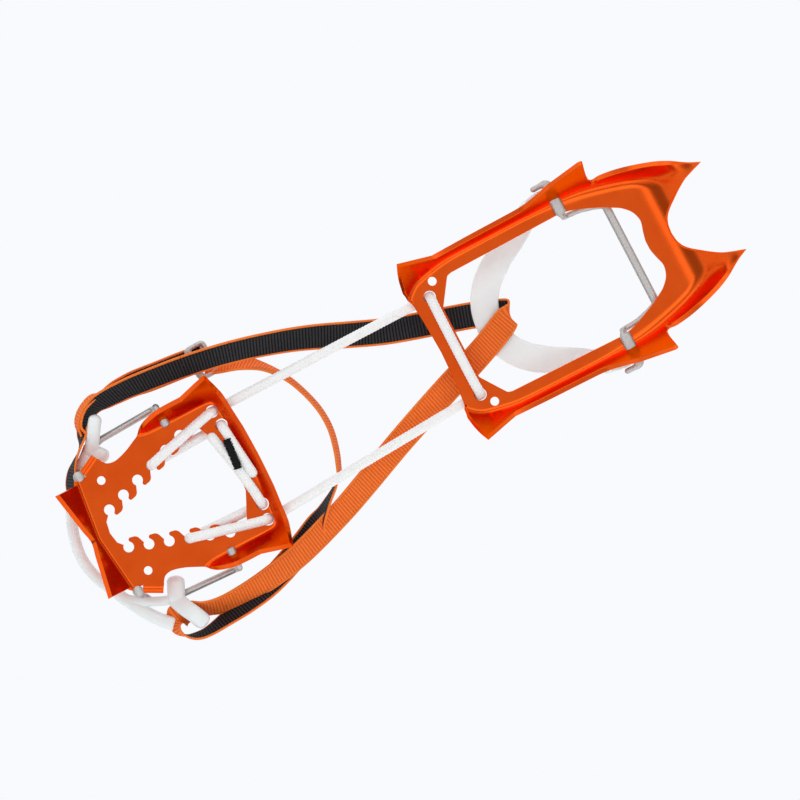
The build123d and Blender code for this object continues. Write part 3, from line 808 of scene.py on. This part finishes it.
def webbing(name, points, normals, start):
    """Woven strap. normals point out of its black face; its other face and both selvedges are orange."""
    s, p, n, b = stations(points, normals, 0.35)
    s = s + start
    v = np.concatenate([EDGE, -EDGE])
    face = np.concatenate([np.ones(len(EDGE)), -np.ones(len(EDGE))])
    middle = np.abs(v) < 6.2
    height = np.where(middle, np.where(face > 0, RIB_HEIGHT, TWILL_HEIGHT), SELVEDGE_HEIGHT)
    thick = np.interp(np.abs(v), THICK_AT, THICK)
    rings, shade = [], []
    for k in range(len(p)):
        black = abs(math.sin(math.pi * s[k] / RIB_PITCH)) ** 0.75
        orange = 0.5 + 0.5 * np.sin(2 * math.pi * (s[k] / RIB_PITCH) + v * TWILL)
        edge = 0.5 + 0.5 * math.sin(2 * math.pi * s[k] / SELVEDGE_PITCH)
        wave = np.where(middle, np.where(face > 0, black, orange), edge)
        rings.append(p[k] + np.outer(v, b[k]) + np.outer((thick + height * wave) * face, n[k]))
        # the rib wave also sets the painted shade of the weave
        shade.append(wave)
    sides = len(v)
    outer = np.maximum(np.abs(v), np.abs(np.roll(v, -1))) > 6.3
    which = np.where(outer, 2, np.where(face > 0, 0, 1)).tolist() * (len(rings) - 1) + [1, 1]
    obj = make_object(name, np.vstack(rings), ring_faces(len(rings), sides),
                      [CLOTH_BLACK, CLOTH_ORANGE, SELVEDGE], which)
    keep_relief(obj, shade)
    uv = obj.data.uv_layers.new(name="cloth")
    loops = np.empty(len(obj.data.loops), np.int32)
    obj.data.loops.foreach_get("vertex_index", loops)
    uv.data.foreach_set("uv", np.column_stack([s[loops // sides] / 10, v[loops % sides] / 10]).ravel())
    return obj


def stretches(table, cuts):
    """A smooth strap route from rows of (x, y, z, normal x, normal y, normal z), cut into named stretches.
    A cut is the row of the table at which a stretch starts."""
    rows = np.array(smooth_run(table, ROW_STEPS))
    points, normals = rows[:, :3], rows[:, 3:]
    along = np.concatenate([[0], np.cumsum(np.linalg.norm(np.diff(points, axis=0), axis=1))])
    marks = [row * ROW_STEPS for row, _ in cuts] + [len(points) - 1]
    return {name: webbing(name, points[a:b + 1], normals[a:b + 1], along[a])
            for (_, name), a, b in zip(cuts, marks, marks[1:])}


def F(x, y, z, *normal):
    """A row of a strap table, from a place given from the front section's rear edge."""
    return (*(FRONT + (x, y, z)), *normal)


LONG_STRAP = [
    # rear end, on edge beside the left heel loop, black face to the loop
    F(-194.9, 50.4, 6.9, 0.86, 0.0, 0.51), F(-194.2, 54.6, 7.0, 0.82, -0.25, 0.52),
    F(-191.6, 58.6, 7.6, 0.66, -0.58, 0.48),
    F(-186.8, 61.6, 9.2, 0.30, -0.80, 0.52), F(-179.5, 62.9, 12.0, 0.08, -0.72, 0.69),
    F(-170, 62.9, 15.2, 0, -0.66, 0.75),
    # left run
    F(-157, 62.0, 18.8, 0, -0.62, 0.78), F(-130, 58.8, 21.6, 0, -0.60, 0.80),
    F(-103.9, 54.0, 20.0, 0, -0.58, 0.81),
    F(-80, 47.6, 15.0, 0, -0.52, 0.85), F(-61, 41.0, 11.2, 0, -0.38, 0.92),
    F(-42, 32.8, 7.0, 0, -0.15, 0.99), F(-23.5, 25.2, 3.4, 0, 0, 1),
    F(-8, 20.2, 1.6, 0, 0, 1), F(7.7, 15.6, 1.0, 0, 0, 1),
    F(24, 10.6, 1.3, 0, 0, 1), F(33.0, 7.4, 1.5, 0, 0, 1),
    # fold round the inner rim of the toe arch
    F(39.0, 4.8, 1.9, -0.20, 0.05, 0.98), F(42.4, 2.8, 4.3, -0.90, 0.30, 0.30),
    F(40.4, 0.4, 6.4, -0.45, 0.2, -0.87),
    F(35.0, -2.6, 6.9, 0, 0, -1),
    # right run, orange face up
    F(24.0, -7.6, 6.7, 0, 0, -1), F(9.0, -13.4, 6.2, 0, 0, -1), F(-9.2, -19.8, 5.6, 0, 0.1, -1),
    F(-43.3, -32.8, 5.6, 0, 0.30, -0.95), F(-70, -44.2, 6.4, 0, 0.42, -0.91),
    F(-91.7, -52.9, 7.4, 0, 0.46, -0.89),
    F(-120.1, -62.2, 8.8, 0, 0.50, -0.87), F(-142, -66.4, 9.2, 0, 0.54, -0.84),
    F(-158, -68.0, 8.8, 0, 0.62, -0.78),
    F(-172, -67.6, 7.8, 0.05, 0.74, -0.66), F(-182, -65.0, 7.0, 0.20, 0.80, -0.56),
    # round the right heel loop
    F(-191.0, -61.9, 6.4, 0.34, 0.55, -0.76), F(-198.6, -62.6, 7.4, 0.80, 0.10, -0.58),
    F(-201.0, -67.0, 7.6, 0.86, 0.25, -0.42),
    F(-199.0, -72.4, 8.2, 0.62, 0.76, -0.10), F(-193.4, -76.0, 8.4, 0.22, 0.94, 0.20),
    F(-186.0, -77.0, 8.2, 0, 0.93, 0.34),
    # lower ply back towards the toes
    F(-174.0, -75.4, 7.2, 0, 0.84, 0.52), F(-160.0, -73.0, 5.6, 0, 0.66, 0.74),
    F(-144.0, -69.0, 3.4, 0, 0.3, 0.95),
    F(-128, -63.2, 1.5, 0, 0, 1), F(-114, -57.2, 1.4, 0, 0.1, 0.99), F(-107.0, -53.0, 3.6, -0.25, 0.42, 0.87),
    F(-101.0, -48.6, 6.6, -0.45, 0.72, 0.50), F(-94.0, -43.4, 8.0, -0.54, 0.80, 0.24),
    F(-87.6, -38.8, 8.2, -0.62, 0.77, 0.10),
    # ankle stretch on its edge, orange face forward
    F(-82.9, -35.0, 8.0, -0.90, 0.42, -0.08), F(-80.3, -29.5, 8.0, -0.93, 0.36, -0.13),
    F(-77.1, -20.5, 8.0, -0.96, 0.25, -0.15),
    F(-74.6, -8.3, 8.0, -0.98, 0.06, -0.15), F(-75.2, 4.5, 8.0, -0.97, -0.18, -0.15),
    F(-79.1, 18.3, 8.0, -0.94, -0.32, -0.15),
    F(-84.2, 29.0, 8.0, -0.84, -0.50, -0.18), F(-91.8, 38.8, 7.8, -0.70, -0.66, -0.28),
    F(-101.5, 46.6, 7.2, -0.5, -0.65, -0.58),
    F(-112, 52.4, 5.6, -0.2, -0.45, -0.87), F(-119.5, 56.0, 5.4, 0, -0.15, -0.99)]
strap = stretches(LONG_STRAP, [
    (0, "strap_at_left_loop"), (5, "strap_left_rear"), (7, "strap_left_fold"), (8, "strap_left_middle"),
    (13, "strap_left_front"), (15, "strap_round_toe_arch"), (20, "strap_right_front"),
    (23, "strap_right_middle"), (26, "strap_right_fold"), (28, "strap_right_rear"),
    (30, "strap_round_right_loop"), (36, "strap_lower_layer"), (46, "strap_over_ankle")])
SHORT_STRAP = [
    F(-116.5, 58.6, 1.0, 0, 0, 1), F(-132, 60.6, 1.0, 0, 0, 1),
    F(-148, 62.2, 1.4, 0, 0, 1), F(-160, 63.8, 3.2, 0, -0.35, 0.93),
    F(-171, 66.0, 6.6, 0.1, -0.80, 0.50), F(-181.4, 67.4, 8.4, 0.40, -0.85, -0.20),
    F(-189.8, 65.0, 8.6, 0.72, -0.62, -0.26),
    F(-195.4, 60.4, 8.6, 0.90, -0.28, -0.28), F(-197.6, 55.6, 8.6, 0.95, 0.12, -0.24),
    F(-196.6, 50.8, 8.6, 0.85, 0.45, -0.2)]
strap.update(stretches(SHORT_STRAP, [(0, "strap_buckle_layer"), (5, "strap_outer_layer")]))
TAIL_STRAP = [
    F(-196.0, 55.2, 7.4, -0.85, 0.20, 0.45), F(-198.4, 51.0, 8.0, -0.84, 0.38, 0.36),
    F(-201.2, 46.9, 8.2, -0.80, 0.56, 0.12),
    F(-204.6, 43.4, 8.2, -0.74, 0.66, 0.05), F(-208.6, 40.0, 8.0, -0.76, 0.60, 0.16),
    F(-212.6, 35.8, 8.0, -0.82, 0.42, 0.32),
    F(-215.8, 30.8, 8.0, -0.86, 0.30, 0.40), F(-217.6, 26.6, 8.0, -0.88, 0.26, 0.38)]
strap.update(stretches(TAIL_STRAP, [(0, "strap_loose_end")]))

# each stretch's CAD node, and its body, or the two bodies it runs between and where its bend starts and ends;
# a stretch with two bodies is left unattached, with its placing baked into its mesh
CARRIED = {
    "strap_at_left_loop": ("strap_turn_left", "heel_section", "heel_wire_left", -172, -188),
    "strap_left_rear": ("strap_left_run", "cord_bends", "heel_section", -132, -168),
    "strap_left_fold": ("strap_left_run", "cord_link", "cord_bends", -106, -129),
    "strap_left_middle": ("strap_left_run", "cord_link"),
    "strap_left_front": ("strap_left_run", "cord_link", "front_section", -6, 20),
    "strap_round_toe_arch": ("strap_toe_turn", "front_section", "toe_harness", 36, 44),
    "strap_right_front": ("strap_right_run", "cord_link", "front_section", -6, 20),
    "strap_right_middle": ("strap_right_run", "cord_link"),
    "strap_right_fold": ("strap_right_run", "cord_link", "cord_bends", -95, -128),
    "strap_right_rear": ("strap_right_run", "cord_bends", "heel_section", -143, -170),
    "strap_round_right_loop": ("strap_turn_right", "heel_section", "heel_wire_right", -172, -188),
    "strap_lower_layer": ("strap_lower_ply", "heel_wire_right", "heel_section", -190, -165),
    "strap_over_ankle": ("strap_ankle", "heel_section"),
    "strap_buckle_layer": ("strap_buckle_ply", "heel_section"),
    "strap_outer_layer": ("strap_buckle_ply", "heel_section", "heel_wire_left", -173, -189),
    "strap_loose_end": ("strap_tail", "heel_wire_left", "heel_section", -198, -214)}
for name, (node, body, *bend) in CARRIED.items():
    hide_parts(node)
    if bend:
        other, start, end = bend
        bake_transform(strap[name])
    else:
        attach(strap[name], body)


# ---- moulded bindings
def remeshed(name, parts, voxel, smooth):
    """One moulding from several overlapping solids."""
    obj = joined(name, parts)
    remesh = obj.modifiers.new("union", "REMESH")
    remesh.mode, remesh.voxel_size, remesh.use_smooth_shade = "VOXEL", voxel * MM, True
    even = obj.modifiers.new("even", "SMOOTH")
    even.iterations, even.factor = smooth, 0.5
    applied(obj)
    obj.data.materials.clear()
    obj.data.materials.append(MILKY)
    obj.data.polygons.foreach_set("use_smooth", [True] * len(obj.data.polygons))
    return obj


ARCH_Z, ARCH_LENGTH, ARCH_WIDTH, ARM_WIDTH = 3.7, 220, 15.6, 10.8
ARCH_HALF = [
    (93.6, 52.9, 27.2, 0, 1, 0), (90.6, 52.9, 23.4, 0, 1, 0), (87.0, 52.9, 18.6, 0, 1, 0),
    (83.6, 52.6, 13.6, 0, 0.98, 0.2), (80.4, 51.0, 9.4, 0.1, 0.85, 0.5), (76.4, 46.6, 6.0, 0.1, 0.45, 0.88),
    (71.0, 41.4, 4.4, 0, 0.15, 0.98), (63.0, 37.0, ARCH_Z, 0, 0, 1), (51.0, 31.4, ARCH_Z, 0, 0, 1),
    (39.6, 22.8, ARCH_Z, 0, 0, 1), (32.4, 12.0, ARCH_Z, 0, 0, 1)]
arch = ARCH_HALF + [(30.2, 0, ARCH_Z, 0, 0, 1)]
arch += [(x, -y, z, nx, -ny, nz) for x, y, z, nx, ny, nz in ARCH_HALF[::-1]]
arch_rows = np.array(smooth_run(arch, 8))


def arch_section(at, share):
    """Wide thin band with a raised bead along each edge, narrower on the arms, round at the pivots."""
    width = ARCH_WIDTH - (ARCH_WIDTH - ARM_WIDTH) * fade(abs(share - 0.5) * 2, 0.30, 0.72)
    width = width * tip_size(min(share, 1 - share) * ARCH_LENGTH, 5.0)
    across, out = rounded_box(44, 0.45, 0.55)
    bead = np.clip((np.abs(across) - 0.72) / 0.2, 0, 1)
    return across * width / 2, out * (1.15 + 0.35 * bead)


harness = swept("toe_arch_moulding", arch_rows[:, :3] + FRONT, arch_section, MILKY, normals=arch_rows[:, 3:],
                step=0.8)
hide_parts("toe_harness")
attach(harness, "toe_harness")

# each heel loop: the line and width of its tube, then of the sleeve that grips the wire
LOOPS = {
    "left": ([(25.5, 43.8, 6.4), (28.6, 46.4, 8.4), (32.2, 50.8, 12.4), (36.4, 56.8, 14.4),
              (40.0, 61.6, 13.4)],
             7.6, [(27.6, 45.4, 6.2), (31.0, 41.4, 6.0), (34.6, 36.9, 5.8)], 8.4),
    "right": ([(31.0, -47.0, 6.4), (32.4, -51.6, 8.2), (34.8, -56.6, 12.6), (37.2, -61.0, 15.0),
               (39.2, -65.6, 14.0), (40.4, -69.4, 12.4)],
              9.6, [(30.6, -51.5, 6.0), (33.6, -45.5, 6.0), (37.4, -37.3, 5.8)], 10.0)}
for name, (tube_line, tube_width, sleeve_line, sleeve_width) in LOOPS.items():
    tube_section = oval(tube_width, 6.4, power=2.5, count=28, ends=3.6)
    tube = swept("tube", heel(*smooth_run(tube_line, 6)), tube_section, MILKY, step=0.8)
    sleeve_section = oval(sleeve_width, 10.4, power=3.0, count=28, ends=3.4)
    sleeve = swept("sleeve", heel(*smooth_run(sleeve_line, 6)), sleeve_section, MILKY, step=0.8)
    loop = remeshed(f"heel_loop_moulding_{name}", [tube, sleeve], 0.55, 4)
    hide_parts(f"heel_loop_{name}")
    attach(loop, f"heel_wire_{name}")

CUP_MIDDLE = [(6.4, 26.2), (1.8, 19.0), (-1.6, 10.4), (-3.9, 0.0), (-4.1, -8.0), (-2.2, -17.5), (1.4, -25.6)]
CUP_LEFT = [(28.6, 47.0), (24.6, 43.6), (19.6, 39.8), (14.6, 34.4), (10.0, 29.6), (6.4, 26.2)]
CUP_RIGHT = [(1.4, -25.6), (6.0, -35.2), (12.5, -46.6), (18.6, -55.2), (24.4, -61.0)]
CUP_Z, CUP_THICK, CUP_WIDTH = 4.6, 8.0, 6.4


def cup_piece(name, route, first=CUP_WIDTH, last=CUP_WIDTH):
    """A stretch of the band that cradles the heel, whose width changes evenly from first to last."""
    rows = smooth_run([(x, y, CUP_Z) for x, y in route], 8)
    across, out = rounded_box(28, 0.8, 0.7)

    def section(at, share):
        return across * (first + (last - first) * share) / 2, out * CUP_THICK / 2
    return swept(name, heel(*rows), section, MILKY, step=1.0)


middle = cup_piece("heel_cradle_middle", CUP_MIDDLE)
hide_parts("heel_cup")
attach(middle, "heel_section")
left_arm = cup_piece("heel_cradle_left", CUP_LEFT, first=8.4)
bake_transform(left_arm)
right_arm = cup_piece("heel_cradle_right", CUP_RIGHT, last=7.8)
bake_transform(right_arm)
strut_rows = smooth_run(
    [(4.6, -32.6, 5.4), (8.6, -37.4, 6.4), (16, -42.4, 6.6), (24, -46.4, 6.4), (31, -48.8, 6.2)], 8)
strut = swept("heel_cradle_strut", heel(*strut_rows), oval(5.4, 4.4, power=2.4, ends=2.0), MILKY, step=0.8)
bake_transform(strut)

# ---- steel wires
BAR_LENGTH, BAR_R = 190, 1.6


def bar_section(at, share):
    """Round wire, flattened where it crosses at the toe and at its two outer ends."""
    off = abs(share - 0.5)
    flat = 1 - fade(off, 0.20, 0.27)
    end = fade(off, 0.44, 0.47)
    tab = fade(off, 0.335, 0.36) * (1 - end)
    width = 2 * BAR_R + 1.6 * flat + 3.4 * tab
    height = 2 * BAR_R - 0.2 * flat - 0.2 * tab - 0.3 * end
    size = tip_size(min(share, 1 - share) * BAR_LENGTH, 1.8)
    across, out = rounded_box(24, 0.8, 0.8)
    return across * width / 2 * size, out * height / 2 * size


BAR_HALF = [
    (83.4, 56.2, 25.6), (92.8, 56.2, 26.2), (92.8, 35.2, 26.2), (93.6, 35.1, 17.6), (103.5, 34.6, 17.4),
    (110.5, 33.4, 17.6), (116.7, 31.0, 17.9), (116.7, 26.0, 17.9)]
bar_route = rounded_route(front(*BAR_HALF, *[(x, -y, z) for x, y, z in BAR_HALF[::-1]]))
upright = np.abs(directions(bar_route)[:, 2:])
bar_normals = (1 - upright) * (0, 0, 1.0) + upright * (1.0, 0, 0)
toe_bar = swept("toe_wire_bar", bar_route, bar_section, STEEL, normals=bar_normals)
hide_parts("toe_wire")
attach(toe_bar, "toe_wire")

# the turned ends of the heel wires inside the loops, which differ a little from side to side
WIRE_ENDS = {
    "left": [(27, 46.4, 3.6), (19.6, 41.4, 5.4), (16.2, 37.4, 6.8)],
    "right": [(27, 47.4, 3.8), (19.2, 43.6, 5.2), (16.2, 38.0, 6.8)]}
for side, name in BOTH_SIDES:
    corners = [(71.6, 37.6, 26.0), (71.6, 49.8, 26.0), (69.5, 49.8, 2.9), (36, 48.4, 2.9)]
    corners += WIRE_ENDS[name] + [(16.2, 35.4, 24.6)]
    wire = swept("wire", rounded_route(heel(*[(x, side * y, z) for x, y, z in corners])),
                 oval(3.8, 3.8, count=20, ends=1.0), STEEL)
    head = swept("head", heel((16.2, side * 35.3, 23.7), (16.2, side * 35.3, 27.4)),
                 oval(6.0, 6.0, ends=1.3), STEEL, step=0.3)
    button = swept("button", heel((72.0, side * 37.4, 25.6), (71.9, side * 42.6, 25.6)),
                   oval(5.2, 4.6, power=2.6), STEEL, step=0.3)
    wire = joined(f"heel_wire_bar_{name}", [wire, head, button])
    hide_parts(f"heel_wire_{name}")
    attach(wire, f"heel_wire_{name}")

RING_HALF, RING_Y = 4.4, (48.6, 66.6)
for node, x, z, body, tilt in (("buckle_ring_fixed", -121.5, 3.4, "heel_section", 0.0),
                               ("buckle_ring_free", -119.7, 6.4, "buckle_ring_free", 0.4)):
    inner, outer = RING_Y
    corners = [(x, outer, z), (x + RING_HALF, outer, z), (x + RING_HALF, inner, z + tilt),
               (x - RING_HALF, inner, z + tilt), (x - RING_HALF, outer, z), (x, outer, z)]
    ring_wire = swept(f"{node}_wire", rounded_route(front(*corners)), oval(2.6, 2.6, count=18, ends=0), STEEL,
                      step=0.5)
    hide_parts(node)
    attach(ring_wire, body)

# ---- floor, light and camera
def plain_glow(n, shader):
    """An even pale floor that shows no shadows."""
    shader.inputs["Color"].default_value = (0.939, 0.956, 0.983, 1)
    shader.inputs["Strength"].default_value = 1.0


FLOOR_REACH, FLOOR_Z = 4000, -0.4
corners = [(x * FLOOR_REACH, y * FLOOR_REACH, FLOOR_Z) for x, y in ((-1, -1), (1, -1), (1, 1), (-1, 1))]
floor = make_object("studio_floor", corners, [(0, 1, 2, 3)], [material("studio_floor", plain_glow, "Emission")])

world = bpy.data.worlds.new("studio")
bpy.context.scene.world = world
world.use_nodes = True
sky = Nodes(world.node_tree)
world.node_tree.nodes.clear()
x_y_z = sky.new("SeparateXYZ")
sky.link(sky.place("Generated"), x_y_z.inputs[0])
aside, upward = x_y_z.outputs[1], x_y_z.outputs[2]


def sky_profile(*stops):
    """Brightness by height above the horizon (0) up to straight overhead (1)."""
    node = sky.new("ValToRGB")
    node.color_ramp.interpolation = "EASE"
    set_stops(node.color_ramp, [(place, (value,) * 3) for place, value in stops])
    sky.link(upward, node.inputs[0])
    return node.outputs[0]


# two soft strip lights along each long side, less light from the toe and heel ends
long_sides = sky_profile((0.0, 1.20), (0.20, 1.90), (0.48, 1.80), (0.57, 0.60), (0.70, 0.62), (0.78, 2.30),
                         (0.90, 2.10), (0.965, 0.90), (1.0, 0.86))
short_ends = sky_profile((0.0, 1.25), (0.14, 1.15), (0.30, 0.36), (0.74, 0.36), (0.84, 1.8), (0.92, 1.6),
                         (0.97, 0.88), (1.0, 0.86))
level_part = sky.math("SUBTRACT", 1.0001, sky.math("MULTIPLY", upward, upward))
side_share = sky.math("DIVIDE", sky.math("MULTIPLY", aside, aside), level_part)
light = sky.new("Mix")
sky.link(side_share, light.inputs[0])
sky.link(short_ends, light.inputs[2])
sky.link(long_sides, light.inputs[3])
background = sky.new("Background")
sky.link(light.outputs[0], background.inputs["Strength"])
sky.link(background.outputs[0], sky.new("OutputWorld").inputs[0])

VIEW_WIDTH, VIEW_Z, DISTANCE, SENSOR = 440.0, 23.0, 3000.0, 36.0
VIEW_CENTRE, VIEW_TURN = (-2.1, -7.8), -27.54
camera = bpy.data.objects.new("camera", bpy.data.cameras.new("camera"))
bpy.context.scene.collection.objects.link(camera)
camera.location = Vector((*VIEW_CENTRE, DISTANCE)) * MM
camera.rotation_euler = (0, 0, math.radians(VIEW_TURN))
camera.data.sensor_width = SENSOR
camera.data.lens = SENSOR * (DISTANCE - VIEW_Z) / VIEW_WIDTH
camera.data.clip_end = 20.0
bpy.context.scene.camera = camera
bpy.context.scene.view_settings.view_transform = "Standard"

bpy.context.view_layer.update()
